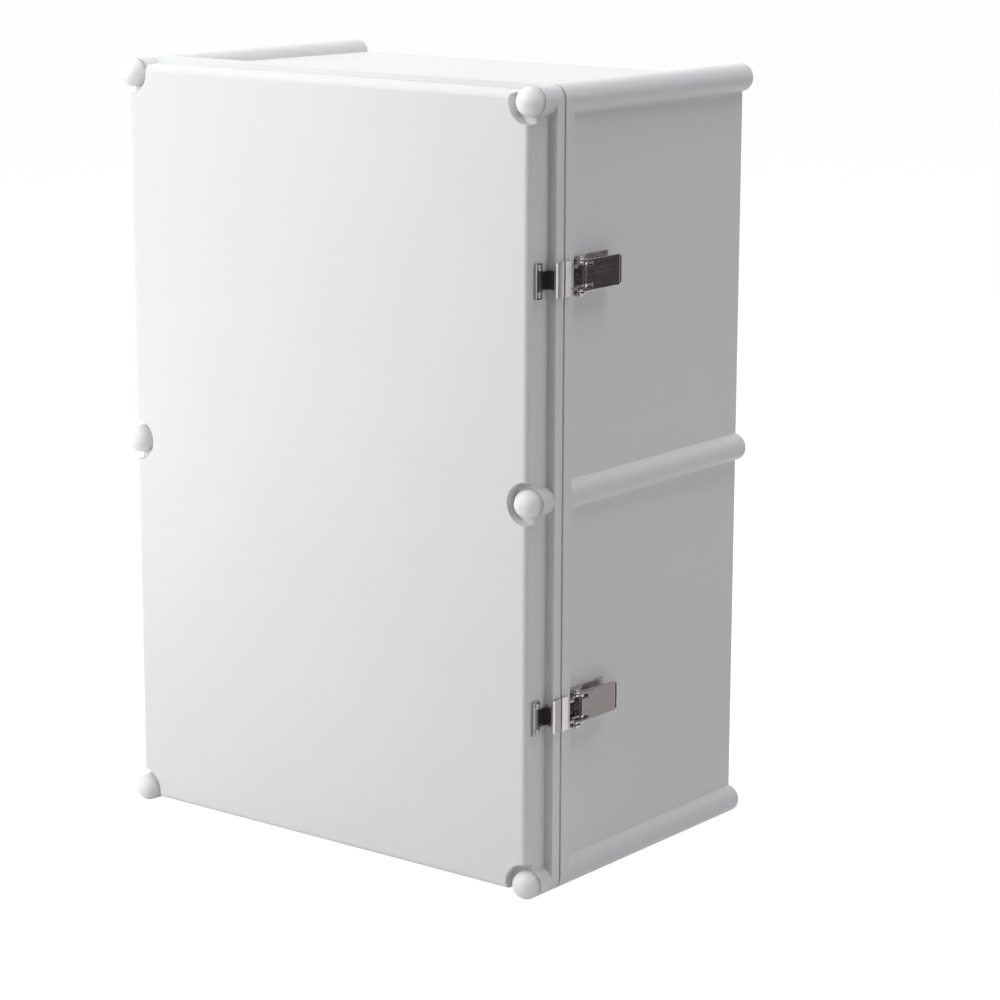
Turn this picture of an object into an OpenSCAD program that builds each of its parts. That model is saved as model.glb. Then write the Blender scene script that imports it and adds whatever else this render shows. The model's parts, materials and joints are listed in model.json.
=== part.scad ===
// Wall-mounting plastic enclosure with a hinged cover and two draw latches.
// Millimetres. Origin at the centre of the rear face, front toward -Y, up +Z.

/* [Rim and posts] */
// overall width over the rim
rim_w = 380; // [330:1:460]
// overall height over the rim
rim_h = 560; // [480:1:680]
// diameter of the six round posts
post_d = 20; // [19:0.5:24]
// clear bore down every post
post_bore_d = 10; // [8:0.5:10.5]
// hole for the wall screw in the floor of a corner post
wall_hole_d = 5.5; // [4:0.1:6.5]
// thickness of the floor of a corner post
post_floor = 8; // [5:0.5:12]
// rounding of a post's rear end
post_round = 2.5; // [1:0.25:4]
// concave fillet between a post and the walls
bead_fillet = 1.5; // [1:0.25:3]

/* [Base] */
// depth of the base from the wall to the seam
base_depth = 225.5; // [150:0.5:280]
// depth of the collar behind the seam
collar_depth = 9.2; // [8.6:0.1:11]
// step from the collar in to the side walls
wall_step = 7.5; // [5:0.25:8.5]
// further inset of the side walls at the rear
wall_draft = 1.75; // [1:0.25:5]
// thickness of the side walls
wall = 3.5; // [2.5:0.25:4]
// thickness of the rear wall
back_wall = 4; // [3:0.25:6]
// rounding of the rear edges
rear_round = 2; // [1:0.25:4]

/* [Cover] */
// gap at the seam
seam = 0.8; // [0.4:0.1:1]
// depth of the band in front of the seam
band_depth = 9.2; // [9:0.1:12]
// step from the band in to the lid at its two sides
lid_inset = 8; // [6:0.25:8.5]
// step from the band in to the lid at its top and bottom
lid_end_inset = 5; // [4:0.25:8.5]
// outward draft of the lid's sides down to the band
lid_draft = 1.25; // [0.5:0.25:2]
// depth of the lid in front of the band
lid_depth = 20.5; // [19:0.5:40]
// thickness of the lid
lid_wall = 3; // [2.5:0.25:4]
// rounding of the lid's front edges
lid_round = 4; // [2:0.25:6]
// diameter of the pocket round each plug
pocket_d = 30; // [27:0.5:36]
// depth of the pocket
pocket_depth = 8; // [5:0.25:9]
// height of a plug's dome above the pocket floor
dome_h = 13.4; // [8:0.2:14]
// reach of a plug's stem into the post
stem_len = 14; // [8:0.5:20]

/* [Seal] */
// seal line in from the rim
seal_inset = 5.5; // [5:0.1:6]
// seal line round the posts, as a radius
seal_post_r = 7.6; // [7.3:0.1:7.9]
// width of the channel in the cover
channel_w = 2.6; // [2.4:0.1:2.8]
// depth of the channel in the cover
channel_depth = 5; // [4:0.25:6]
// width of the base's sealing rib
rib_w = 1.2; // [0.8:0.1:1.3]
// reach of the rib into the channel
rib_reach = 2.2; // [1.5:0.1:2.6]

/* [Mounting plate] */
// height of the bosses on the rear wall
boss_h = 12; // [8:0.5:30]
// diameter of a boss
boss_d = 14; // [12:0.5:20]
// diameter of a threaded insert
insert_d = 6.4; // [5.5:0.1:8]
// plate screw size
screw_d = 4.2; // [3:0.1:5]
// plate thickness
plate_t = 2; // [1.5:0.25:4]
// free space round the plate
plate_gap = 5; // [3:0.5:12]
// boss in from the plate's edge
boss_in = 16; // [12:0.5:30]

/* [Hinges] */
// height of the hinges above and below the middle
fitting_z = 150; // [90:1:190]
// half length of a hinge
hinge_half = 20; // [18:0.5:40]
// radius of a hinge barrel
barrel_r = 3.2; // [2.8:0.1:3.6]
// radius of a hinge pin
pin_r = 1.5; // [1:0.1:1.7]

/* [Latches] */
// height of the latches above and below the middle
latch_z = 151; // [90:1:190]
// sheet thickness of hinges and latches
sheet = 1.5; // [1.2:0.1:1.8]
// half width of a lever
lever_half = 10.5; // [10:0.25:14]
// length of a lever behind its pivot
lever_len = 45; // [40:0.5:60]
// lever pivot behind the collar
pivot_gap = 6.8; // [6.2:0.1:8]
// lever pivot above the foot of its bracket
pivot_up = 5.5; // [5.2:0.1:6.5]
// claw pivot behind the lever pivot
draw_arm = 9; // [8:0.25:10]
// claw pivot below the lever pivot
draw_dip = 2; // [1.5:0.1:2.2]
// flare of a lever's tip
tip_flare = 0.5; // [0.25:0.25:3]
// length of a lever's flared tip
tip_len = 9; // [6:0.5:14]
// half width of a claw
claw_half = 12; // [11:0.25:16]
// free height of a claw over the rim
claw_gap = 0.8; // [0.6:0.1:1.2]
// width of a claw's arm
claw_arm = 2; // [1.5:0.25:3]
// rear edge of a claw's plate ahead of the collar's
claw_short = 4; // [3:0.25:5]
// depth of the valley across a claw's plate
claw_dip = 0.9; // [0.3:0.1:1]
// half width of a keeper's hook
hook_half = 6.5; // [5.5:0.25:8.5]
// half width of a keeper
keeper_half = 12.25; // [11.5:0.25:16]
// width of a keeper's strip
keeper_strip = 6.5; // [5.5:0.25:7]
// keeper strip behind the lid's rounded edge
keeper_set = 2; // [1:0.25:3]
// radius of the latch pins
latch_pin_r = 1.4; // [1:0.1:1.6]

/* [Clearances] */
// pieces pressed or riveted together
press_gap = 0.05; // [0.02:0.01:0.1]
// pieces that turn on each other
turn_gap = 0.3; // [0.25:0.05:0.4]
// side play of a turning piece
side_gap = 0.5; // [0.4:0.05:0.8]

/* [Hidden] */
$fn = 64;
rim_x = rim_w / 2;
rim_z = rim_h / 2;
post_r = post_d / 2;
post_x = rim_x - post_r;
post_z = rim_z - post_r;
bore_r = post_bore_d / 2;
// depths along -Y
seam_back = -base_depth;
seam_mid = seam_back - seam / 2;
seam_front = seam_back - seam;
collar_back = seam_back + collar_depth;
band_front = seam_front - band_depth;
face_y = band_front - lid_depth;
pocket_y = face_y + pocket_depth;
// drafted side walls
wall_slope = wall_draft / (base_depth - collar_depth);
wall_rear_x = rim_x - wall_step - wall_draft;
wall_rear_z = rim_z - wall_step - wall_draft;
function wall_x(y) = wall_rear_x - wall_slope * y;
lid_x = rim_x - lid_inset;
lid_z = rim_z - lid_end_inset;
// the hollow keeps one width of land inside the seal all round
lid_hollow_x = rim_x - lid_inset - lid_wall;
lid_hollow_z = rim_z - lid_inset - lid_wall;
cup_r = pocket_d / 2 + lid_wall;
// seal
seal_x = rim_x - seal_inset;
seal_z = rim_z - seal_inset;
gasket_gap = 0.2;
gasket_h = channel_depth - rib_reach - gasket_gap;
// mounting plate
plate_x = post_x - post_r - plate_gap;
plate_z = post_z - post_r - plate_gap;
boss_x = plate_x - boss_in;
boss_z = plate_z - boss_in;
boss_top = -back_wall - boss_h;
plate_front = boss_top - plate_t;
insert_len = boss_h - 2;
screw_head_h = 2.8;
screw_head_r = screw_d * 1.05;
// hinges
hinge_x = -rim_x - barrel_r - turn_gap;
knuckle = hinge_half * 0.4;
leaf_cut = barrel_r + side_gap;
leaf_edge = 0.8;
rivet_r = 1.2;
rivet_head_r = 2.1;
rivet_head_h = 1.2;
hinge_rivet_z = (knuckle + hinge_half) / 2;
// latches
foot_front = collar_back + 1.2 * sheet;
foot_x = wall_x(foot_front) + sheet;
pivot_x = foot_x + pivot_up;
pivot_y = collar_back + pivot_gap;
claw_pin_x = pivot_x - draw_dip;
claw_pin_y = pivot_y + draw_arm;
lever_top = pivot_x + latch_pin_r + 1.1;
lever_end = pivot_y + lever_len;
foot_back = lever_end - tip_len / 2;
ear_r = latch_pin_r + 2.2;
nose_r = latch_pin_r + 1.5;
barrel_claw_r = latch_pin_r + 1.2;
flange_in = lever_half - sheet;
tail_half = flange_in - side_gap;
arm_in = tail_half - claw_arm;
rivet_lip = 0.3;
ear_in = lever_half + rivet_lip + side_gap;
ear_out = ear_in + sheet;
bracket_rivet_z = flange_in / 2;
bracket_rivet_y = [claw_pin_y + 1.3 * draw_arm, foot_back - 2.5 * rivet_head_r];
hook_y = band_front - 2 * side_gap;
claw_in = rim_x + claw_gap;
claw_out = claw_in + sheet;
hook_top = claw_in - turn_gap;
claw_front = hook_y - sheet;
claw_back = collar_back - claw_short;
keeper_front = face_y + lid_round + keeper_set;
keeper_rivet_y = keeper_front + keeper_strip / 2;
function lid_side(y) = lid_x + lid_draft * (y - face_y - lid_round) / (band_front - face_y - lid_round);
keeper_x = lid_side(hook_y) + sheet;
shank_x = lid_side(keeper_rivet_y + rivet_r) + 0.05;
latch_rivet_z = keeper_half - rivet_head_r - 1;
corners = [[-1, -1], [1, -1], [-1, 1], [1, 1]];
posts = [[-1, -1], [1, -1], [-1, 0], [1, 0], [-1, 1], [1, 1]];

// a flat outline in X and Z pushed from one depth to another toward the front
module depth_run(from, to) {
    translate([0, from, 0]) rotate([90, 0, 0]) linear_extrude(from - to) children();
}

// a round bar along the depth
module bar(x, z, r, from, to) {
    translate([x, from, z]) rotate([90, 0, 0]) cylinder(r = r, h = from - to);
}

// a round bar along X, outward from x0
module side_bar(x0, y, z, r, len) {
    translate([x0, y, z]) rotate([0, 90, 0]) cylinder(r = r, h = len);
}

// a flat outline in X and Y, as high as the given span
module rise(z0, z1) {
    translate([0, 0, z0]) linear_extrude(z1 - z0) children();
}

module at_posts() {
    for (p = posts) translate([p[0] * post_x, p[1] * post_z]) children();
}

module rim_outline() {
    square([rim_w - 2 * post_r, rim_h], center = true);
    square([rim_w, rim_h - 2 * post_r], center = true);
    for (c = corners) translate([c[0] * post_x, c[1] * post_z]) circle(r = post_r);
}

// half of a drafted wall's outline with its rear corners rounded
module wall_outline(rear) {
    len = base_depth - collar_depth / 2;
    s = sqrt(1 + wall_slope * wall_slope);
    cx = rear + wall_slope * rear_round - rear_round * s;
    ax = cx + rear_round / s;
    ay = -rear_round + rear_round * wall_slope / s;
    fx = rear + wall_slope * len;
    polygon([[-fx, -len], [fx, -len], [ax, ay], [cx, 0], [-cx, 0], [-ax, ay]]);
    for (m = [-1, 1]) translate([m * cx, -rear_round]) circle(r = rear_round);
}

module wall_body() {
    intersection() {
        linear_extrude(rim_h, center = true) wall_outline(wall_rear_x);
        rotate([0, -90, 0]) linear_extrude(rim_w, center = true) wall_outline(wall_rear_z);
    }
}

// the hollow inside the drafted walls
module hollow_outline(rear) {
    near = rear - wall + wall_slope * back_wall;
    far = rear - wall + wall_slope * (base_depth + 1);
    polygon([[-near, -back_wall], [near, -back_wall], [far, -base_depth - 1], [-far, -base_depth - 1]]);
}

module base_hollow() {
    difference() {
        intersection() {
            linear_extrude(rim_h, center = true) hollow_outline(wall_rear_x);
            rotate([0, -90, 0]) linear_extrude(rim_w, center = true) hollow_outline(wall_rear_z);
        }
        for (p = posts) bar(p[0] * post_x, p[1] * post_z, post_r, 1, -base_depth - 2);
        at_bosses(boss_d / 2, 1, boss_top);
    }
}

module at_bosses(r, from, to) {
    for (i = [-1, 1], k = [-1, 0, 1]) bar(i * boss_x, k * boss_z, r, from, to);
}

// a post with its rear end rounded
module post(x, z) {
    r = post_round;
    translate([x, 0, z]) rotate([90, 0, 0]) rotate_extrude() {
        translate([0, r]) square([post_r, base_depth - r]);
        square([post_r - r, r + 1]);
        translate([post_r - r, r]) circle(r = r);
    }
}

// a concave fillet on one side of a post, along a drafted wall that faces +X
module fillet_bar(rear, along, s) {
    f = bead_fillet;
    t = sqrt(post_r * post_r - pow(post_r - wall_step + f, 2));
    start = 1.5 * rear_round;
    translate([rear, 0, along]) rotate([0, 0, atan(wall_slope)]) mirror([0, 0, s < 0 ? 1 : 0])
        translate([0, -start, 0]) rotate([90, 0, 0]) linear_extrude(base_depth - collar_depth / 2 - start)
            difference() {
                translate([-wall / 2, t - 1]) square([wall / 2 + f, f + 1]);
                translate([f - 0.05, t + f]) circle(r = f);
            }
}

module bead_fillets() {
    for (m = [0, 1]) mirror([m, 0, 0]) {
        for (s = [-1, 1]) fillet_bar(wall_rear_x, 0, s);
        for (s = [-1, 1]) fillet_bar(wall_rear_x, -s * post_z, s);
    }
    for (m = [0, 1]) mirror([0, 0, m]) rotate([0, -90, 0])
        for (s = [-1, 1]) fillet_bar(wall_rear_z, -s * post_x, s);
}

// the seal line, grown by d
module seal_area(d) {
    difference() {
        square([2 * (seal_x + d), 2 * (seal_z + d)], center = true);
        at_posts() circle(r = seal_post_r - d);
        for (c = corners)
            translate([c[0] * (post_x + post_r), c[1] * (post_z + post_r)])
                square(2 * post_r, center = true);
    }
}

module seal_line(w) {
    difference() {
        seal_area(w / 2);
        seal_area(-w / 2);
    }
}

module base_shell() {
    color("gainsboro")
    difference() {
        union() {
            wall_body();
            depth_run(collar_back, seam_back) rim_outline();
            for (p = posts) post(p[0] * post_x, p[1] * post_z);
            bead_fillets();
            depth_run(seam_back + 1, seam_front - rib_reach) seal_line(rib_w);
        }
        base_hollow();
        for (p = posts) bar(p[0] * post_x, p[1] * post_z, bore_r, -post_floor, seam_back - 1);
        for (c = corners) bar(c[0] * post_x, c[1] * post_z, wall_hole_d / 2, 1, -post_floor - 1);
        at_bosses(insert_d / 2 + press_gap, boss_top + insert_len, boss_top - 1);
    }
}

// the lid's outline with its front corners rounded
module lid_outline(half) {
    r = lid_round;
    root = half + lid_draft;
    polygon([[-half, face_y + r], [half, face_y + r], [root, band_front], [root, band_front + 1],
             [-root, band_front + 1], [-root, band_front]]);
    translate([-half + r, face_y]) square([2 * (half - r), r + 1]);
    for (m = [-1, 1]) translate([m * (half - r), face_y + r]) circle(r = r);
}

module lid_body() {
    intersection() {
        linear_extrude(rim_h, center = true) lid_outline(lid_x);
        rotate([0, -90, 0]) linear_extrude(rim_w, center = true) lid_outline(lid_z);
    }
}

module cover_hollow() {
    difference() {
        depth_run(seam_front + 1, face_y + lid_wall)
            square([2 * lid_hollow_x, 2 * lid_hollow_z], center = true);
        for (p = posts) {
            bar(p[0] * post_x, p[1] * post_z, post_r, seam_front + 2, face_y);
            bar(p[0] * post_x, p[1] * post_z, cup_r, pocket_y + lid_wall, face_y);
        }
    }
}

module cover_shell() {
    color("gainsboro")
    difference() {
        union() {
            depth_run(seam_front, band_front) rim_outline();
            lid_body();
            for (p = posts) bar(p[0] * post_x, p[1] * post_z, post_r, seam_front, pocket_y);
        }
        cover_hollow();
        for (p = posts) {
            bar(p[0] * post_x, p[1] * post_z, bore_r, seam_front + 1, pocket_y - 1);
            bar(p[0] * post_x, p[1] * post_z, pocket_d / 2, pocket_y, face_y - 1);
        }
        depth_run(seam_front + 1, seam_front - channel_depth) seal_line(channel_w);
    }
}

module gasket() {
    color("dimgray")
    depth_run(seam_front - channel_depth + gasket_h, seam_front - channel_depth)
        seal_line(channel_w - 2 * press_gap);
}

module mounting_plate() {
    r = 6;
    color("silver")
    difference() {
        depth_run(boss_top, plate_front) {
            square([2 * (plate_x - r), 2 * plate_z], center = true);
            square([2 * plate_x, 2 * (plate_z - r)], center = true);
            for (c = corners) translate([c[0] * (plate_x - r), c[1] * (plate_z - r)]) circle(r = r);
        }
        at_bosses(screw_d / 2 + 0.4, boss_top + 1, plate_front - 1);
    }
}

module plate_inserts() {
    color("goldenrod")
    difference() {
        at_bosses(insert_d / 2, boss_top + insert_len, boss_top);
        at_bosses(screw_d / 2 + press_gap, boss_top + insert_len + 1, boss_top - 1);
    }
}

module plate_screws() {
    color("silver")
    difference() {
        union() {
            at_bosses(screw_head_r, plate_front, plate_front - screw_head_h);
            at_bosses(screw_d / 2, boss_top + insert_len - 1.5, plate_front - 1);
        }
        for (i = [-1, 1], k = [-1, 0, 1])
            translate([i * boss_x, plate_front - screw_head_h / 2, k * boss_z])
                rotate([90, 0, 0]) cylinder(r = screw_d * 0.55, h = 5, $fn = 6);
    }
}

// domed plug with a stem down the post
module plug(i, k) {
    head = post_r - 0.1;
    neck = 0.5;
    rim_h0 = 1.6;
    cap = dome_h - rim_h0;
    ball = (head * head + cap * cap) / (2 * cap);
    color("whitesmoke")
    translate([i * post_x, pocket_y, k * post_z]) rotate([90, 0, 0]) {
        rotate_extrude() {
            square([head - neck, rim_h0]);
            translate([0, neck]) square([head, rim_h0 - neck]);
            intersection() {
                translate([0, dome_h - ball]) circle(r = ball);
                translate([0, rim_h0 / 2]) square([head, dome_h]);
            }
        }
        translate([0, 0, -stem_len]) cylinder(r = bore_r - press_gap, h = stem_len + rim_h0 / 2);
    }
}

module plug_top_left() { plug(-1, 1); }
module plug_top_right() { plug(1, 1); }
module plug_mid_left() { plug(-1, 0); }
module plug_mid_right() { plug(1, 0); }
module plug_bottom_left() { plug(-1, -1); }
module plug_bottom_right() { plug(1, -1); }

// a hinge leaf, back = 1 on the base and -1 on the cover
module leaf(back) {
    deep = back > 0 ? collar_depth : band_depth;
    edge = seam_mid + back * (seam / 2 + deep - leaf_edge);
    lo = min(edge, seam_mid + back * leaf_cut);
    hi = max(edge, seam_mid + back * leaf_cut);
    inner = back > 0 ? [seam_mid, hi] : [lo, seam_mid];
    spans = back > 0 ? [[-hinge_half, -knuckle], [knuckle, hinge_half]]
                     : [[-knuckle + turn_gap, knuckle - turn_gap]];
    hole = back > 0 ? pin_r + press_gap : pin_r + turn_gap;
    color("lightgray")
    difference() {
        union() {
            rise(-hinge_half, hinge_half) translate([-rim_x - sheet, lo]) square([sheet, hi - lo]);
            for (s = spans) rise(s[0], s[1]) {
                translate([-rim_x - sheet, inner[0]]) square([sheet, inner[1] - inner[0]]);
                translate([hinge_x, seam_mid]) circle(r = barrel_r);
            }
        }
        rise(-hinge_half - 1, hinge_half + 1) translate([hinge_x, seam_mid]) circle(r = hole);
        for (k = [-1, 1])
            side_bar(-rim_x - sheet - 1, leaf_rivet_y(back), k * hinge_rivet_z, rivet_r + press_gap, sheet + 2);
    }
}

function leaf_rivet_y(back) = seam_mid + back * (leaf_cut + rivet_head_r + 0.1);

module hinge_base_leaf_upper() { translate([0, 0, fitting_z]) leaf(1); }
module hinge_base_leaf_lower() { translate([0, 0, -fitting_z]) leaf(1); }
module hinge_cover_leaf_upper() { translate([0, 0, fitting_z]) leaf(-1); }
module hinge_cover_leaf_lower() { translate([0, 0, -fitting_z]) leaf(-1); }

module hinge_pin() {
    color("silver")
    translate([hinge_x, seam_mid, 0]) {
        cylinder(r = pin_r, h = 2 * hinge_half + 1, center = true);
        for (m = [0, 1]) mirror([0, 0, m]) translate([0, 0, hinge_half]) cylinder(r = pin_r + 0.9, h = 1);
    }
}

module hinge_pin_upper() { translate([0, 0, fitting_z]) hinge_pin(); }
module hinge_pin_lower() { translate([0, 0, -fitting_z]) hinge_pin(); }

// a rivet on the hinge side
module left_rivet(y, z) {
    side_bar(-rim_x - sheet - rivet_head_h, y, z, rivet_head_r, rivet_head_h);
    side_bar(-rim_x - sheet - 0.5, y, z, rivet_r, sheet + 0.5);
}

module hinge_base_rivets() {
    color("silver")
    for (k = [-1, 1], m = [-1, 1]) left_rivet(leaf_rivet_y(1), k * fitting_z + m * hinge_rivet_z);
}

module hinge_cover_rivets() {
    color("silver")
    for (k = [-1, 1], m = [-1, 1]) left_rivet(leaf_rivet_y(-1), k * fitting_z + m * hinge_rivet_z);
}

// everything inside the plane of the drafted side wall
module behind_wall() {
    polygon([[0, 0], [wall_rear_x, 0], [wall_rear_x + wall_slope * base_depth, -base_depth], [0, -base_depth]]);
}

// latch bracket: a foot on the side wall and two ears that carry the lever
module bracket() {
    color("lightgray")
    difference() {
        union() {
            rise(-ear_out, ear_out)
                translate([wall_rear_x, foot_front]) square([foot_x - wall_rear_x, foot_back - foot_front]);
            for (m = [0, 1]) mirror([0, 0, m]) rise(ear_in, ear_out) {
                polygon([[foot_x - sheet / 2, foot_front], [pivot_x, pivot_y - ear_r],
                         [pivot_x + ear_r * 0.7, pivot_y + ear_r * 0.7],
                         [foot_x - sheet / 2, pivot_y + draw_arm + 2 * ear_r]]);
                translate([pivot_x, pivot_y]) circle(r = ear_r);
            }
        }
        rise(-ear_out - 1, ear_out + 1) behind_wall();
        rise(-ear_out - 1, ear_out + 1) translate([pivot_x, pivot_y]) circle(r = latch_pin_r + press_gap);
        for (y = bracket_rivet_y, m = [-1, 1]) side_bar(0, y, m * bracket_rivet_z, rivet_r + press_gap, foot_x + 1);
    }
}

module latch_bracket_upper() { translate([0, 0, latch_z]) bracket(); }
module latch_bracket_lower() { translate([0, 0, -latch_z]) bracket(); }

module bracket_rivets() {
    color("silver")
    for (k = [-1, 1], y = bracket_rivet_y, m = [-1, 1]) {
        side_bar(foot_x, y, k * latch_z + m * bracket_rivet_z, rivet_head_r, rivet_head_h);
        side_bar(wall_x(y) + 0.2, y, k * latch_z + m * bracket_rivet_z, rivet_r, foot_x - wall_x(y) + 0.3);
    }
}

// short pins, one in each ear
module lever_pivots() {
    color("silver")
    for (k = [-1, 1], m = [0, 1])
        translate([pivot_x, pivot_y, k * latch_z]) mirror([0, 0, m]) {
            translate([0, 0, flange_in]) cylinder(r = latch_pin_r, h = ear_out - flange_in + 0.5);
            translate([0, 0, ear_out]) cylinder(r = latch_pin_r + 1.1, h = 1);
        }
}

// the lever: a plate with two side flanges, slots for the claw's arms and a flared tip
module lever() {
    plate_in = lever_top - sheet;
    slot_end = claw_pin_y + barrel_claw_r + 2 * side_gap;
    tongue_front = claw_pin_y - barrel_claw_r - sheet;
    tongue_half = arm_in - side_gap;
    tip = lever_end - tip_len;
    color("silver")
    difference() {
        union() {
            rise(-lever_half, lever_half)
                polygon([[plate_in, slot_end], [lever_top, slot_end], [lever_top, tip], [lever_top + tip_flare, lever_end],
                         [plate_in + tip_flare, lever_end], [plate_in, tip]]);
            rise(-tongue_half, tongue_half)
                translate([plate_in, tongue_front]) square([sheet, slot_end - tongue_front + 1]);
            for (m = [0, 1]) mirror([0, 0, m]) rise(flange_in, lever_half) {
                polygon([[lever_top, pivot_y + 1], [lever_top, tip], [plate_in - 0.5 * sheet, tip],
                         [plate_in - 1.5 * sheet, claw_pin_y + 1.5 * draw_arm],
                         [claw_pin_x - nose_r + 0.3, claw_pin_y + 1], [pivot_x - nose_r + 0.2, pivot_y]]);
                translate([pivot_x, pivot_y]) circle(r = nose_r);
                translate([claw_pin_x, claw_pin_y]) circle(r = nose_r);
            }
        }
        rise(-lever_half - 1, lever_half + 1) translate([pivot_x, pivot_y]) circle(r = latch_pin_r + turn_gap);
        rise(-lever_half - 1, lever_half + 1) translate([claw_pin_x, claw_pin_y]) circle(r = latch_pin_r + press_gap);
    }
}

module lever_upper() { translate([0, 0, latch_z]) lever(); }
module lever_lower() { translate([0, 0, -latch_z]) lever(); }

module claw_pin() {
    color("silver")
    translate([claw_pin_x, claw_pin_y, 0]) {
        cylinder(r = latch_pin_r, h = 2 * lever_half, center = true);
        for (m = [0, 1]) mirror([0, 0, m]) translate([0, 0, lever_half]) cylinder(r = 2.2, h = rivet_lip);
    }
}

module claw_pin_upper() { translate([0, 0, latch_z]) claw_pin(); }
module claw_pin_lower() { translate([0, 0, -latch_z]) claw_pin(); }

// the claw: a plate with a shallow valley over the rim and two cranked arms back to the claw pin
module claw() {
    arm_lo = claw_pin_x - sheet / 2;
    arm_hi = claw_pin_x + sheet / 2;
    crank_back = collar_back + 2.5 * sheet;
    crank_front = collar_back + 0.6 * sheet;
    crease = seam_front - sheet;
    edge = 1;
    color("silver")
    difference() {
        union() {
            rise(-claw_half, claw_half)
                polygon([[claw_in, claw_back], [claw_out, claw_back], [claw_out, claw_back - edge],
                         [claw_out - claw_dip, crease], [claw_out, claw_front + 2 * edge],
                         [claw_out - sheet / 3, claw_front], [claw_in, claw_front]]);
            for (m = [0, 1]) mirror([0, 0, m]) rise(arm_in, tail_half) {
                translate([claw_pin_x, claw_pin_y]) circle(r = barrel_claw_r);
                polygon([[arm_lo, claw_pin_y], [arm_hi, claw_pin_y], [arm_hi, crank_back + sheet / 2],
                         [claw_out, crank_front + sheet / 2], [claw_out, claw_back - edge], [claw_in, claw_back - edge],
                         [claw_in, crank_front], [arm_lo, crank_back]]);
            }
        }
        rise(-tail_half - 1, tail_half + 1) translate([claw_pin_x, claw_pin_y]) circle(r = latch_pin_r + turn_gap);
    }
}

module claw_upper() { translate([0, 0, latch_z]) claw(); }
module claw_lower() { translate([0, 0, -latch_z]) claw(); }

// the lid's inside of its drafted side
module behind_lid() {
    polygon([[0, face_y], [lid_x, face_y], [lid_x, face_y + lid_round], [lid_x + lid_draft, band_front], [0, band_front]]);
}

// keeper: a strip riveted to the lid's side with an upright hook that the claw pulls on
module keeper() {
    strip_back = keeper_front + keeper_strip;
    color("silver")
    difference() {
        union() {
            rise(-keeper_half, keeper_half)
                translate([lid_x, keeper_front]) square([keeper_x - lid_x, keeper_strip]);
            rise(-hook_half, hook_half)
                polygon([[lid_x, strip_back - 0.5], [keeper_x, strip_back - 0.5], [keeper_x, hook_y - sheet],
                         [hook_top, hook_y - sheet], [hook_top, hook_y], [lid_x, hook_y]]);
        }
        rise(-keeper_half - 1, keeper_half + 1) behind_lid();
        for (m = [-1, 1])
            side_bar(lid_x - 1, keeper_rivet_y, m * latch_rivet_z, rivet_r + press_gap, keeper_x - lid_x + 2);
    }
}

module keeper_upper() { translate([0, 0, latch_z]) keeper(); }
module keeper_lower() { translate([0, 0, -latch_z]) keeper(); }

module keeper_rivets() {
    color("silver")
    for (k = [-1, 1], m = [-1, 1]) {
        side_bar(keeper_x, keeper_rivet_y, k * latch_z + m * latch_rivet_z, rivet_head_r, rivet_head_h);
        side_bar(shank_x, keeper_rivet_y, k * latch_z + m * latch_rivet_z, rivet_r, keeper_x - shank_x + 0.5);
    }
}

base_shell();
cover_shell();
gasket();
mounting_plate();
plate_inserts();
plate_screws();
plug_top_left();
plug_top_right();
plug_mid_left();
plug_mid_right();
plug_bottom_left();
plug_bottom_right();
hinge_base_leaf_upper();
hinge_base_leaf_lower();
hinge_cover_leaf_upper();
hinge_cover_leaf_lower();
hinge_pin_upper();
hinge_pin_lower();
hinge_base_rivets();
hinge_cover_rivets();
latch_bracket_upper();
latch_bracket_lower();
bracket_rivets();
lever_pivots();
lever_upper();
lever_lower();
claw_pin_upper();
claw_pin_lower();
claw_upper();
claw_lower();
keeper_upper();
keeper_lower();
keeper_rivets();
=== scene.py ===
# Wall-mounting plastic enclosure with a hinged cover and two draw latches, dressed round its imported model.
# Metres, in the model's own frame: origin at the centre of the rear face, front toward -Y, up +Z.
import json
from math import cos, radians, sin

import bmesh
import bpy
from mathutils import Matrix, Vector


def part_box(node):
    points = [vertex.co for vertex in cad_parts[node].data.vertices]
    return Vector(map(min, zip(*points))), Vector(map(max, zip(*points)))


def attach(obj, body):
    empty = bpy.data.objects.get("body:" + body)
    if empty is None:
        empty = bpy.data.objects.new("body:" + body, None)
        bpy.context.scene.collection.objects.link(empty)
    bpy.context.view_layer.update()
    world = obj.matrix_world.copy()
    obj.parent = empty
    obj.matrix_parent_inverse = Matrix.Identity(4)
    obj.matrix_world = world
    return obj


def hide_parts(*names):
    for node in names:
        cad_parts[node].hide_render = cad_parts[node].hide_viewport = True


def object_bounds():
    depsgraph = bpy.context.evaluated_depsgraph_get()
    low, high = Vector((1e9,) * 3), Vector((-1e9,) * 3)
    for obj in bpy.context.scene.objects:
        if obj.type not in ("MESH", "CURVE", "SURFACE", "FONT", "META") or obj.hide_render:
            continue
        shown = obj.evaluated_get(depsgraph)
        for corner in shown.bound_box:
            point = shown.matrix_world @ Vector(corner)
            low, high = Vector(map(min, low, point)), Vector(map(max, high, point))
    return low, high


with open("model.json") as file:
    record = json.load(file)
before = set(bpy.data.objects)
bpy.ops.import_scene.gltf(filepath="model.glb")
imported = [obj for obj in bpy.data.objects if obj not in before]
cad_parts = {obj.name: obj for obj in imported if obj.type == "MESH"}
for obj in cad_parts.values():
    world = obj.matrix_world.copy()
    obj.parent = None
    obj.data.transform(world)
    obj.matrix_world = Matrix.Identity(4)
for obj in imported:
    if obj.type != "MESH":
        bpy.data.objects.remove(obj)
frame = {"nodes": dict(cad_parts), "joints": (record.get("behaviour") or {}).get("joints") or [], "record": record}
CAD_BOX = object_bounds()
MM = 0.001
X, Y = 0, 1

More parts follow.
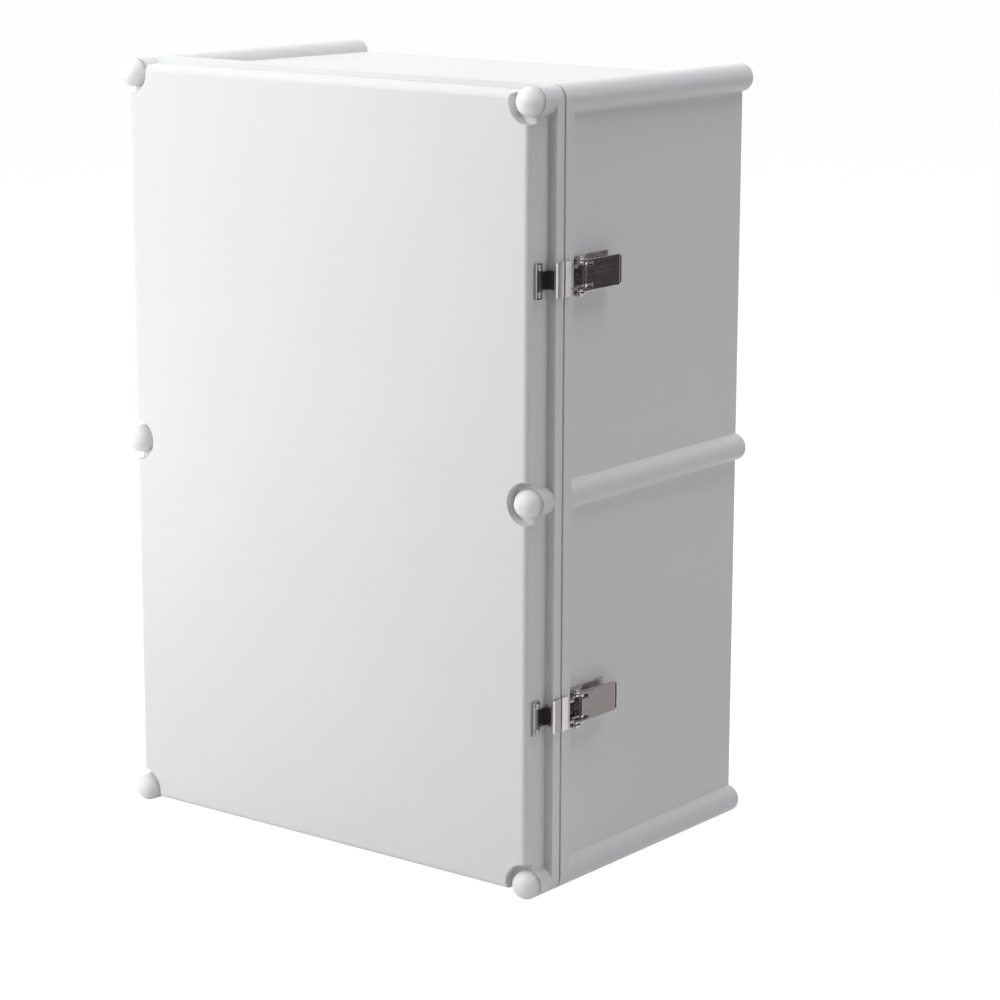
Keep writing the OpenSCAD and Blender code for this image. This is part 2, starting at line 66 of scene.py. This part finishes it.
# Camera, from the photograph's vanishing lines: place in metres, angles in degrees, lens in millimetres
CAMERA_PLACE = (1.41777, -1.88364, 0.45805)
CAMERA_YAW = 37.715
CAMERA_PITCH = 12.530
CAMERA_ROLL = 0.1886
CAMERA_LENS = 112.2156
CAMERA_REACH = 100.0
SENSOR_WIDTH = 36.0


def box_mm(node):
    """A modelled piece's lowest and highest corner, in millimetres."""
    low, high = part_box(node)
    return low / MM, high / MM


# Sizes of the mouldings and the latches, in millimetres
POST_R = 10.0
POCKET_R = 15.0
SEAM_GAP = 0.8
BAND_DEPTH = 9.2
LEVER_RISE = 2.5
CREASE_DEPTH = 0.85
CREASE_BACK = 10.2
CREASE_R = 0.8

# Places on the model, in millimetres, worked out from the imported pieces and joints
POST_X = box_mm("base_shell")[1].x - POST_R
POST_Z = box_mm("base_shell")[1].z - POST_R
SEAM_FRONT = box_mm("cover_shell")[1].y
SEAM_BACK = SEAM_FRONT + SEAM_GAP
BAND_FRONT = SEAM_FRONT - BAND_DEPTH
PIVOT = {joint["name"]: Vector(joint["pos_m"]) / MM for joint in frame["joints"]}
RIVET_HEADS = {
    "bracket_rivets": box_mm("bracket_rivets")[1].x,
    "keeper_rivets": box_mm("keeper_rivets")[1].x,
    "hinge_base_rivets": box_mm("hinge_base_rivets")[0].x,
    "hinge_cover_rivets": box_mm("hinge_cover_rivets")[0].x,
}

# Edges: width in millimetres, segments, and a profile where the edge is hollow instead of round
SEAM_GROOVE = (1.3, 4, 0.15)
COLLAR_EDGE = (0.3, 2)
POCKET_EDGE = (0.5, 3)
LEVER_EDGE = (1.0, 4)
LEVER_CORNER = (2.2, 5)
CLAW_CORNER = (1.3, 4)
KEEPER_CORNER = (1.2, 4)
BROKEN_EDGE = (0.18, 2)
PIN_END = (0.3, 3)
RIVET_CROWN = (0.9, 5)
ROUND_PROFILE = 0.5

# How closely an edge lies at the place that picks it, in millimetres, and its share along an axis
PLACE_SLACK = 0.03
HEAD_SLACK = 0.1
RIM_SLACK = 0.3
POCKET_SLACK = 0.08
BAND_CLEAR = 1.0
STRAIGHT = 0.95

# Copies of the modelled pieces: merge distance in metres, angles in degrees
MERGE_DISTANCE = 0.000002
FLAT_ANGLE = 0.4
SHARP_ANGLE = 40.0
SMOOTH_ANGLE = 32.0

# Light: name, place, aim, width, height, power in watts, colour, whether glossy surfaces reflect it
COOL = (0.985, 1.0, 0.992)
LILAC = (0.980, 0.965, 1.0)
LAMPS = [
    ("front_softbox", (-0.80, -1.80, 0.60), (0.0, -0.25, 0.0), 1.0, 1.0, 16.4, COOL, False),
    ("key_softbox", (-0.45, -1.10, 1.00), (0.0, -0.25, 0.10), 0.6, 0.6, 7.2, COOL, True),
    ("brow_strip", (0.05, -0.62, 0.62), (0.0, -0.25, 0.20), 0.5, 0.2, 0.16, COOL, False),
    ("low_strip", (-0.80, -0.80, -0.13), (0.0, -0.25, -0.16), 0.3, 0.26, 1.2, COOL, True),
    ("left_softbox", (-0.90, 0.20, 1.50), (0.0, -0.10, 0.10), 0.9, 0.9, 8.9, COOL, False),
    ("back_softbox", (0.0, 0.90, 1.40), (0.0, -0.10, 0.10), 0.8, 0.8, 5.6, COOL, False),
    ("right_softbox", (0.70, 0.05, 1.70), (0.10, -0.13, 0.0), 1.0, 1.0, 12.5, LILAC, False),
    ("side_softbox", (2.20, 0.30, 0.30), (0.19, -0.12, -0.05), 0.8, 1.0, 4.7, LILAC, False),
    ("side_strip", (1.50, -0.15, 0.15), (0.19, -0.12, -0.05), 0.4, 0.7, 1.2, LILAC, False),
]

# Floor: half its side in metres, glow to the camera, and tones for its shadow and its bounce
FLOOR_Z = CAD_BOX[0].z
FLOOR_HALF = 16.0
FLOOR_GLOW = 0.99
FLOOR_SHADOW = 0.25
FLOOR_BOUNCE = 0.72

# Flags that the latches reflect: height above the floor in metres, and tones
STANDING_LIFT = 0.010
LYING_LIFT = 0.001
BLACK = (0.03, 0.03, 0.03)
DUSK = (0.075, 0.062, 0.072)
PALE = (0.50, 0.47, 0.48)


def deselect():
    if bpy.context.mode != "OBJECT":
        bpy.ops.object.mode_set(mode="OBJECT")
    bpy.ops.object.select_all(action="DESELECT")


def pick(piece):
    deselect()
    piece.select_set(True)
    bpy.context.view_layer.objects.active = piece


# Shader helpers
def new_group(name, inputs, outputs):
    group = bpy.data.node_groups.new(name, "ShaderNodeTree")
    for kind, label in inputs:
        group.interface.new_socket(label, in_out="INPUT", socket_type=kind)
    for kind, label in outputs:
        group.interface.new_socket(label, in_out="OUTPUT", socket_type=kind)
    start = group.nodes.new("NodeGroupInput")
    end = group.nodes.new("NodeGroupOutput")
    return group, start, end


def noise(tree, vector, scale, detail, rough):
    node = tree.nodes.new("ShaderNodeTexNoise")
    node.inputs["Scale"].default_value = scale
    node.inputs["Detail"].default_value = detail
    node.inputs["Roughness"].default_value = rough
    tree.links.new(vector, node.inputs["Vector"])
    return node.outputs["Fac"]


def set_or_link(tree, socket, value):
    if isinstance(value, (int, float)):
        socket.default_value = value
    else:
        tree.links.new(value, socket)


def spread(tree, value, low, high, start=0.0, end=1.0):
    """Takes values from start to end onto low to high."""
    node = tree.nodes.new("ShaderNodeMapRange")
    tree.links.new(value, node.inputs["Value"])
    node.inputs["From Min"].default_value = start
    node.inputs["From Max"].default_value = end
    set_or_link(tree, node.inputs["To Min"], low)
    set_or_link(tree, node.inputs["To Max"], high)
    return node.outputs["Result"]


def sums(tree, operation, a, b):
    node = tree.nodes.new("ShaderNodeMath")
    node.operation = operation
    set_or_link(tree, node.inputs[0], a)
    set_or_link(tree, node.inputs[1], b)
    return node.outputs["Value"]


def tint(tree, colour, factor):
    node = tree.nodes.new("ShaderNodeVectorMath")
    node.operation = "SCALE"
    tree.links.new(colour, node.inputs[0])
    tree.links.new(factor, node.inputs["Scale"])
    return node.outputs["Vector"]


def seen_rays(tree):
    """1 for the camera's rays and for reflections, 0 for light that only bounces."""
    path = tree.nodes.new("ShaderNodeLightPath")
    mirrors = sums(tree, "MAXIMUM", path.outputs["Is Glossy Ray"], path.outputs["Is Transmission Ray"])
    return sums(tree, "MAXIMUM", path.outputs["Is Camera Ray"], mirrors)


# Surface effects
SURFACE = [("NodeSocketColor", "Colour"), ("NodeSocketFloat", "Roughness"), ("NodeSocketFloat", "Height")]


def moulded_group():
    """Moulded surface: slow mottle in the colour, smudged gloss and a fine spark-eroded grain."""
    g, start, end = new_group(
        "moulded_surface",
        [("NodeSocketVector", "Place"), ("NodeSocketColor", "Colour"), ("NodeSocketFloat", "Mottle"),
         ("NodeSocketFloat", "Gloss spread"), ("NodeSocketFloat", "Roughness")],
        SURFACE)
    place = start.outputs["Place"]
    slow = noise(g, place, scale=7.0, detail=3.0, rough=0.55)
    darkest = sums(g, "SUBTRACT", 1.0, start.outputs["Mottle"])
    shade = spread(g, slow, low=darkest, high=1.0, start=0.3, end=0.7)
    g.links.new(tint(g, start.outputs["Colour"], shade), end.inputs["Colour"])
    smudge = noise(g, place, scale=38.0, detail=4.0, rough=0.6)
    either_way = spread(g, smudge, low=-1.0, high=1.0, start=0.25, end=0.75)
    lift = sums(g, "MULTIPLY", either_way, start.outputs["Gloss spread"])
    g.links.new(sums(g, "ADD", start.outputs["Roughness"], lift), end.inputs["Roughness"])
    g.links.new(noise(g, place, scale=1500.0, detail=2.0, rough=0.5), end.inputs["Height"])
    return g


def drawn_group():
    """Cold-drawn metal: streaks along the drawing direction and a cloudy tone."""
    g, start, end = new_group(
        "drawn_sheet",
        [("NodeSocketVector", "Place"), ("NodeSocketVector", "Stretched"), ("NodeSocketColor", "Colour"),
         ("NodeSocketFloat", "Streak"), ("NodeSocketFloat", "Roughness")],
        SURFACE)
    streak = noise(g, start.outputs["Stretched"], scale=900.0, detail=3.0, rough=0.6)
    cloud = noise(g, start.outputs["Place"], scale=120.0, detail=3.0, rough=0.5)
    darkest = sums(g, "SUBTRACT", 1.0, start.outputs["Streak"])
    streak_shade = spread(g, streak, low=darkest, high=1.0, start=0.3, end=0.7)
    cloud_shade = spread(g, cloud, low=0.92, high=1.0, start=0.3, end=0.7)
    shade = sums(g, "MULTIPLY", streak_shade, cloud_shade)
    g.links.new(tint(g, start.outputs["Colour"], shade), end.inputs["Colour"])
    either_way = spread(g, streak, low=-1.0, high=1.0, start=0.3, end=0.7)
    lift = sums(g, "MULTIPLY", either_way, start.outputs["Streak"])
    g.links.new(sums(g, "ADD", start.outputs["Roughness"], lift), end.inputs["Roughness"])
    g.links.new(streak, end.inputs["Height"])
    return g


def spangle_group():
    """Hot-dip zinc: angular crystals that differ a little in tone and gloss."""
    g, start, end = new_group(
        "zinc_spangle",
        [("NodeSocketVector", "Place"), ("NodeSocketColor", "Colour"), ("NodeSocketFloat", "Contrast")],
        SURFACE)
    cells = g.nodes.new("ShaderNodeTexVoronoi")
    cells.inputs["Scale"].default_value = 150.0
    g.links.new(start.outputs["Place"], cells.inputs["Vector"])
    split = g.nodes.new("ShaderNodeSeparateColor")
    g.links.new(cells.outputs["Color"], split.inputs["Color"])
    darkest = sums(g, "SUBTRACT", 1.0, start.outputs["Contrast"])
    shade = spread(g, split.outputs["Red"], low=darkest, high=1.0)
    g.links.new(tint(g, start.outputs["Colour"], shade), end.inputs["Colour"])
    g.links.new(spread(g, split.outputs["Green"], low=0.36, high=0.46), end.inputs["Roughness"])
    g.links.new(noise(g, start.outputs["Place"], scale=600.0, detail=2.0, rough=0.5), end.inputs["Height"])
    return g


MOULDED = moulded_group()
DRAWN = drawn_group()
SPANGLE = spangle_group()


# Finishes
def srgb(r, g, b):
    """A display colour of 0 to 255 as the shader takes it."""
    def linear(c):
        c /= 255.0
        return c / 12.92 if c <= 0.04045 else ((c + 0.055) / 1.055) ** 2.4
    return (linear(r), linear(g), linear(b), 1.0)


def material(name, group, values, bump, depth, metallic=0.0, stretch=None, **plain):
    """A Principled material whose colour, roughness and bump come from one of the surface groups."""
    mat = bpy.data.materials.new(name)
    mat.use_nodes = True
    tree = mat.node_tree
    shader = tree.nodes["Principled BSDF"]
    place = tree.nodes.new("ShaderNodeTexCoord").outputs["Object"]
    surface = tree.nodes.new("ShaderNodeGroup")
    surface.node_tree = group
    tree.links.new(place, surface.inputs["Place"])
    if stretch:
        mapping = tree.nodes.new("ShaderNodeMapping")
        mapping.inputs["Scale"].default_value = stretch
        tree.links.new(place, mapping.inputs["Vector"])
        tree.links.new(mapping.outputs["Vector"], surface.inputs["Stretched"])
    for label, number in values.items():
        surface.inputs[label].default_value = number
    tree.links.new(surface.outputs["Colour"], shader.inputs["Base Color"])
    tree.links.new(surface.outputs["Roughness"], shader.inputs["Roughness"])
    relief = tree.nodes.new("ShaderNodeBump")
    relief.inputs["Strength"].default_value = bump
    relief.inputs["Distance"].default_value = depth
    tree.links.new(surface.outputs["Height"], relief.inputs["Height"])
    tree.links.new(relief.outputs["Normal"], shader.inputs["Normal"])
    shader.inputs["Metallic"].default_value = metallic
    for label, number in plain.items():
        shader.inputs[label.replace("_", " ")].default_value = number
    return mat


def plastic(name, colour, mottle, gloss_spread, roughness, bump, depth, **plain):
    values = {"Colour": srgb(*colour), "Mottle": mottle, "Gloss spread": gloss_spread,
              "Roughness": roughness}
    return material(name, MOULDED, values, bump, depth, **plain)


def metal(name, colour, streak, roughness, bump, depth, stretch):
    values = {"Colour": srgb(*colour), "Streak": streak, "Roughness": roughness}
    return material(name, DRAWN, values, bump, depth, metallic=1.0, stretch=stretch)


# One finish for each material slot of the model
FINISH = {
    "housing": plastic("light_grey_polycarbonate", (226, 226, 226), mottle=0.02, gloss_spread=0.05,
                       roughness=0.42, bump=0.10, depth=0.00008),
    "plug": plastic("white_plug_plastic", (243, 243, 242), mottle=0.02, gloss_spread=0.05,
                    roughness=0.40, bump=0.10, depth=0.00008, Subsurface_Weight=1.0,
                    Subsurface_Radius=(1.0, 1.0, 1.0), Subsurface_Scale=0.02),
    "seal": plastic("foamed_seal", (58, 60, 62), mottle=0.25, gloss_spread=0.08,
                    roughness=0.85, bump=0.6, depth=0.0003),
    "plate": material("galvanised_sheet", SPANGLE, {"Colour": srgb(196, 199, 201), "Contrast": 0.12},
                      bump=0.10, depth=0.0001, metallic=1.0),
    "insert": metal("turned_brass", (203, 168, 92), streak=0.12, roughness=0.30,
                    bump=0.10, depth=0.00005, stretch=(1.0, 0.05, 1.0)),
    "screw": metal("zinc_screw", (188, 190, 190), streak=0.10, roughness=0.34,
                   bump=0.10, depth=0.00005, stretch=(1.0, 0.1, 1.0)),
    "hinge": metal("stainless_hinge", (196, 195, 192), streak=0.10, roughness=0.28,
                   bump=0.02, depth=0.00004, stretch=(1.0, 1.0, 0.04)),
    "pin": metal("stainless_pin", (190, 189, 187), streak=0.08, roughness=0.24,
                 bump=0.02, depth=0.00004, stretch=(1.0, 1.0, 0.04)),
    "rivet": metal("steel_rivet", (184, 183, 181), streak=0.08, roughness=0.26,
                   bump=0.02, depth=0.00004, stretch=(0.2, 1.0, 1.0)),
    "latch": metal("stainless_latch", (190, 187, 184), streak=0.05, roughness=0.25,
                   bump=0.02, depth=0.00004, stretch=(1.0, 0.04, 1.0)),
}
LEVER_FINISH = metal("bright_lever_steel", (188, 184, 184), streak=0.03, roughness=0.15,
                     bump=0.01, depth=0.00004, stretch=(1.0, 0.04, 1.0))
CLAW_FINISH = metal("satin_claw_steel", (206, 204, 203), streak=0.02, roughness=0.25,
                    bump=0.005, depth=0.00002, stretch=(1.0, 0.04, 1.0))

NODE_BODY = {n: b for b, names in frame["record"]["behaviour"]["bodies"].items() for n in names}
NODE_SLOT = {n: node.data.materials[0].name for n, node in frame["nodes"].items()}


# Dressed copies of the modelled pieces
def joined_copy(node, name):
    """A copy with its triangles joined and its flats made whole, left in edit mode."""
    source = frame["nodes"][node]
    piece = bpy.data.objects.new(name, source.data.copy())
    bpy.context.scene.collection.objects.link(piece)
    pick(piece)
    bpy.ops.mesh.customdata_custom_splitnormals_clear()
    bpy.ops.object.mode_set(mode="EDIT")
    bpy.ops.mesh.select_all(action="SELECT")
    bpy.ops.mesh.remove_doubles(threshold=MERGE_DISTANCE)
    bpy.ops.mesh.dissolve_limited(angle_limit=radians(FLAT_ANGLE))
    bpy.ops.mesh.select_all(action="DESELECT")
    return piece


def soften(piece, rule, width, segments, profile=ROUND_PROFILE):
    """Bevels the sharp edges that the rule picks from an edge's two ends and whether it is convex."""
    bpy.context.tool_settings.mesh_select_mode = (False, True, False)
    bpy.ops.mesh.select_all(action="DESELECT")
    mesh = bmesh.from_edit_mesh(piece.data)
    for edge in mesh.edges:
        if len(edge.link_faces) == 2 and edge.calc_face_angle(0.0) > radians(SHARP_ANGLE):
            a, b = (v.co / MM for v in edge.verts)
            if rule(a, b, edge.is_convex):
                edge.select_set(True)
    bmesh.update_edit_mesh(piece.data)
    bpy.ops.mesh.bevel(offset=width * MM, offset_type="OFFSET", segments=segments, profile=profile,
                       affect="EDGES", clamp_overlap=False)


def press_line(piece, node):
    """Presses a fine line into the claw's plate along the bottom of its valley."""
    low, high = box_mm(node)
    place = Vector((high.x - CREASE_DEPTH, low.y + CREASE_BACK, (low.z + high.z) / 2))
    length = 2 * (high.z - low.z)
    deselect()
    bpy.ops.mesh.primitive_cylinder_add(vertices=16, radius=CREASE_R * MM, depth=length * MM,
                                        location=place * MM)
    tool = bpy.context.object
    bpy.ops.object.transform_apply(location=True, rotation=True, scale=True)
    pick(piece)
    cut = piece.modifiers.new("pressed_line", "BOOLEAN")
    cut.operation = "DIFFERENCE"
    cut.solver = "EXACT"
    cut.object = tool
    bpy.ops.object.modifier_apply(modifier=cut.name)
    bpy.data.objects.remove(tool)
    bpy.ops.object.mode_set(mode="EDIT")
    bpy.ops.mesh.select_all(action="DESELECT")


def finish_copy(piece, node, finish):
    """Keeps the copy inside its node's box, evens its shading and lets it stand for the node."""
    pick(piece)
    low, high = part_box(node)
    for vertex in piece.data.vertices:
        vertex.co = [min(max(c, a), b) for c, a, b in zip(vertex.co, low, high)]
    bpy.ops.object.shade_smooth_by_angle(angle=radians(SMOOTH_ANGLE))
    weigh = piece.modifiers.new("even_flats", "WEIGHTED_NORMAL")
    weigh.keep_sharp = True
    weigh.weight = 100
    bpy.ops.object.modifier_apply(modifier=weigh.name)
    piece.data.materials.clear()
    piece.data.materials.append(finish)
    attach(piece, NODE_BODY[node])
    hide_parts(node)


def dress(node, steps, finish=None, pressed=False):
    piece = joined_copy(node, node + "_soft")
    if pressed:
        press_line(piece, node)
    for step in steps:
        soften(piece, *step)
    finish_copy(piece, node, finish or FINISH[NODE_SLOT[node]])


# Rules that pick edges, all in millimetres
def near(a, b, axis, place, slack=PLACE_SLACK):
    return abs(a[axis] - place) < slack and abs(b[axis] - place) < slack


def runs(a, b, axis):
    return abs(b[axis] - a[axis]) > STRAIGHT * (b - a).length


def any_convex(a, b, convex):
    return convex


def rim_depth(v):
    """How far a point lies inside the rim's outline, seen from the front."""
    x, z = abs(v.x) - POST_X, abs(v.z) - POST_Z
    if x > 0 and z > 0:
        return POST_R - (x * x + z * z) ** 0.5
    return POST_R - max(x, z)


def seam_edge(place):
    """The outer edge on one side of the seam."""
    def rule(a, b, convex):
        return convex and near(a, b, Y, place) and max(rim_depth(a), rim_depth(b)) < RIM_SLACK
    return rule


def post_distance(v):
    """How far a point lies from the nearest post's axis, seen from the front."""
    return min(((abs(v.x) - POST_X) ** 2 + (v.z - z) ** 2) ** 0.5 for z in (-POST_Z, 0.0, POST_Z))


def pocket_rim(a, b, convex):
    """The edge of the round pockets in the lid's face."""
    return (convex and max(a.y, b.y) < BAND_FRONT - BAND_CLEAR
            and all(abs(post_distance(v) - POCKET_R) < POCKET_SLACK for v in (a, b)))


def end_edges(node, along=None, at=None):
    """Edges on a latch part's upper and lower end that run along an axis or lie at a place on one."""
    low, high = box_mm(node)
    middle = (low.z + high.z) / 2
    half = (high.z - low.z) / 2

    def rule(a, b, convex):
        return (convex and all(abs(abs(v.z - middle) - half) < PLACE_SLACK for v in (a, b))
                and (along is None or runs(a, b, along)) and (at is None or near(a, b, *at)))
    return rule


def rivet_crown(place):
    """The edges round the outer faces of the rivets' heads."""
    def rule(a, b, convex):
        return convex and near(a, b, X, place, HEAD_SLACK)
    return rule


def dress_latch(name):
    lever, claw, keeper = "lever_" + name, "claw_" + name, "keeper_" + name
    lever_face = PIVOT[name + "_lever_pivot"].x + LEVER_RISE
    lever_tip = box_mm(lever)[1].y
    dress(lever, [
        (end_edges(lever, along=Y, at=(X, lever_face)), *LEVER_EDGE),
        (end_edges(lever, at=(Y, lever_tip)), *LEVER_CORNER),
        (any_convex, *BROKEN_EDGE)], LEVER_FINISH)
    dress(claw, [
        (end_edges(claw, along=X), *CLAW_CORNER),
        (any_convex, *BROKEN_EDGE)], CLAW_FINISH, pressed=True)
    dress(keeper, [
        (end_edges(keeper, along=X), *KEEPER_CORNER),
        (any_convex, *BROKEN_EDGE)], LEVER_FINISH)
    dress("latch_bracket_" + name, [(any_convex, *BROKEN_EDGE)])


def dress_hinge(name):
    dress("hinge_base_leaf_" + name, [(any_convex, *BROKEN_EDGE)])
    dress("hinge_cover_leaf_" + name, [(any_convex, *BROKEN_EDGE)])
    dress("hinge_pin_" + name, [(any_convex, *PIN_END)])


for name, node in frame["nodes"].items():
    node.data.materials.clear()
    node.data.materials.append(FINISH[NODE_SLOT[name]])

dress("cover_shell", [(seam_edge(SEAM_FRONT), *SEAM_GROOVE), (pocket_rim, *POCKET_EDGE)])
dress("base_shell", [(seam_edge(SEAM_BACK), *COLLAR_EDGE)])
for name in ("upper", "lower"):
    dress_latch(name)
    dress_hinge(name)
    dress("claw_pin_" + name, [(any_convex, *PIN_END)])
dress("lever_pivots", [(any_convex, *PIN_END)])
for name, head in RIVET_HEADS.items():
    dress(name, [(rivet_crown(head), *RIVET_CROWN)])


# Stage
def paper_material():
    """White with the object's shadow to the camera and in reflections, plain paper to other light."""
    mat = bpy.data.materials.new("white_paper")
    mat.use_nodes = True
    tree = mat.node_tree
    tree.nodes.clear()
    out = tree.nodes.new("ShaderNodeOutputMaterial")
    paper = tree.nodes.new("ShaderNodeBsdfDiffuse")
    paper.inputs["Color"].default_value = (FLOOR_BOUNCE, FLOOR_BOUNCE, FLOOR_BOUNCE, 1.0)
    shadow = tree.nodes.new("ShaderNodeBsdfDiffuse")
    shadow.inputs["Color"].default_value = (FLOOR_SHADOW, FLOOR_SHADOW, FLOOR_SHADOW, 1.0)
    glow = tree.nodes.new("ShaderNodeEmission")
    glow.inputs["Strength"].default_value = FLOOR_GLOW
    both = tree.nodes.new("ShaderNodeAddShader")
    tree.links.new(shadow.outputs[0], both.inputs[0])
    tree.links.new(glow.outputs[0], both.inputs[1])
    mix = tree.nodes.new("ShaderNodeMixShader")
    tree.links.new(seen_rays(tree), mix.inputs["Fac"])
    tree.links.new(paper.outputs[0], mix.inputs[1])
    tree.links.new(both.outputs[0], mix.inputs[2])
    tree.links.new(mix.outputs[0], out.inputs["Surface"])
    return mat


def lay_floor():
    deselect()
    bpy.ops.mesh.primitive_plane_add(size=2 * FLOOR_HALF, location=(0, 0, FLOOR_Z))
    floor = bpy.context.object
    floor.name = "floor"
    floor.data.materials.append(paper_material())


def flag(name, corners, tone):
    """A card that only reflections see, to give the latches their darker sides."""
    deselect()
    bpy.ops.mesh.primitive_plane_add(size=1.0)
    card = bpy.context.object
    card.name = name
    for vertex, corner in zip(card.data.vertices, corners):
        vertex.co = corner
    mat = bpy.data.materials.new(name)
    mat.use_nodes = True
    tree = mat.node_tree
    tree.nodes.clear()
    out = tree.nodes.new("ShaderNodeOutputMaterial")
    glow = tree.nodes.new("ShaderNodeEmission")
    glow.inputs["Color"].default_value = (*tone, 1.0)
    tree.links.new(glow.outputs[0], out.inputs["Surface"])
    card.data.materials.append(mat)
    card.visible_camera = False
    card.visible_diffuse = False
    card.visible_transmission = False
    card.visible_shadow = False


def standing_flag(name, left, right, top, tone):
    foot = FLOOR_Z + STANDING_LIFT
    flag(name, [(*end, z) for z in (foot, top) for end in (left, right)], tone)


def lying_flag(name, near_edge, far_edge, tone):
    flag(name, [(*place, FLOOR_Z + LYING_LIFT) for place in (*near_edge, *far_edge)], tone)


def white_world():
    """White to the camera and in reflections, and no light of its own."""
    world = bpy.data.worlds.new("studio")
    bpy.context.scene.world = world
    world.use_nodes = True
    tree = world.node_tree
    sky = tree.nodes["Background"]
    sky.inputs["Color"].default_value = (1.0, 1.0, 1.0, 1.0)
    tree.links.new(seen_rays(tree), sky.inputs["Strength"])


def hang_lamp(name, place, aim, width, height, power, colour, reflected):
    data = bpy.data.lights.new(name, "AREA")
    data.shape = "RECTANGLE"
    data.size = width
    data.size_y = height
    data.energy = power
    data.color = colour
    lamp = bpy.data.objects.new(name, data)
    lamp.location = place
    lamp.rotation_euler = (Vector(aim) - Vector(place)).to_track_quat("-Z", "Y").to_euler()
    lamp.visible_glossy = reflected
    bpy.context.scene.collection.objects.link(lamp)


def set_camera():
    yaw, pitch, roll = radians(CAMERA_YAW), radians(CAMERA_PITCH), radians(CAMERA_ROLL)
    ahead = Vector((-sin(yaw) * cos(pitch), cos(yaw) * cos(pitch), -sin(pitch)))
    right = Vector((cos(yaw), sin(yaw), 0.0))
    up = right.cross(ahead)
    right, up = right * cos(roll) + up * sin(roll), up * cos(roll) - right * sin(roll)
    turn = Matrix((right, up, -ahead)).transposed().to_4x4()
    view = bpy.data.cameras.new("camera")
    view.lens = CAMERA_LENS
    view.sensor_width = SENSOR_WIDTH
    view.sensor_fit = "HORIZONTAL"
    view.clip_end = CAMERA_REACH
    camera = bpy.data.objects.new("camera", view)
    camera.matrix_world = Matrix.Translation(CAMERA_PLACE) @ turn
    bpy.context.scene.collection.objects.link(camera)
    bpy.context.scene.camera = camera


lay_floor()
standing_flag("rear_flag", left=(0.86, 1.09), right=(1.31, 0.78), top=0.45, tone=DUSK)
lying_flag("floor_flag", near_edge=((0.275, 0.06), (0.408, -0.02)),
           far_edge=((0.412, 0.541), (0.767, 0.328)), tone=PALE)
standing_flag("camera_flag", left=(0.50, -1.35), right=(1.25, -0.80), top=0.60, tone=BLACK)
lying_flag("front_flag", near_edge=((0.24, -0.42), (0.62, -0.28)),
           far_edge=((0.40, -1.10), (0.98, -0.72)), tone=BLACK)
white_world()
for lamp in LAMPS:
    hang_lamp(*lamp)
set_camera()
bpy.context.scene.view_settings.view_transform = "Standard"
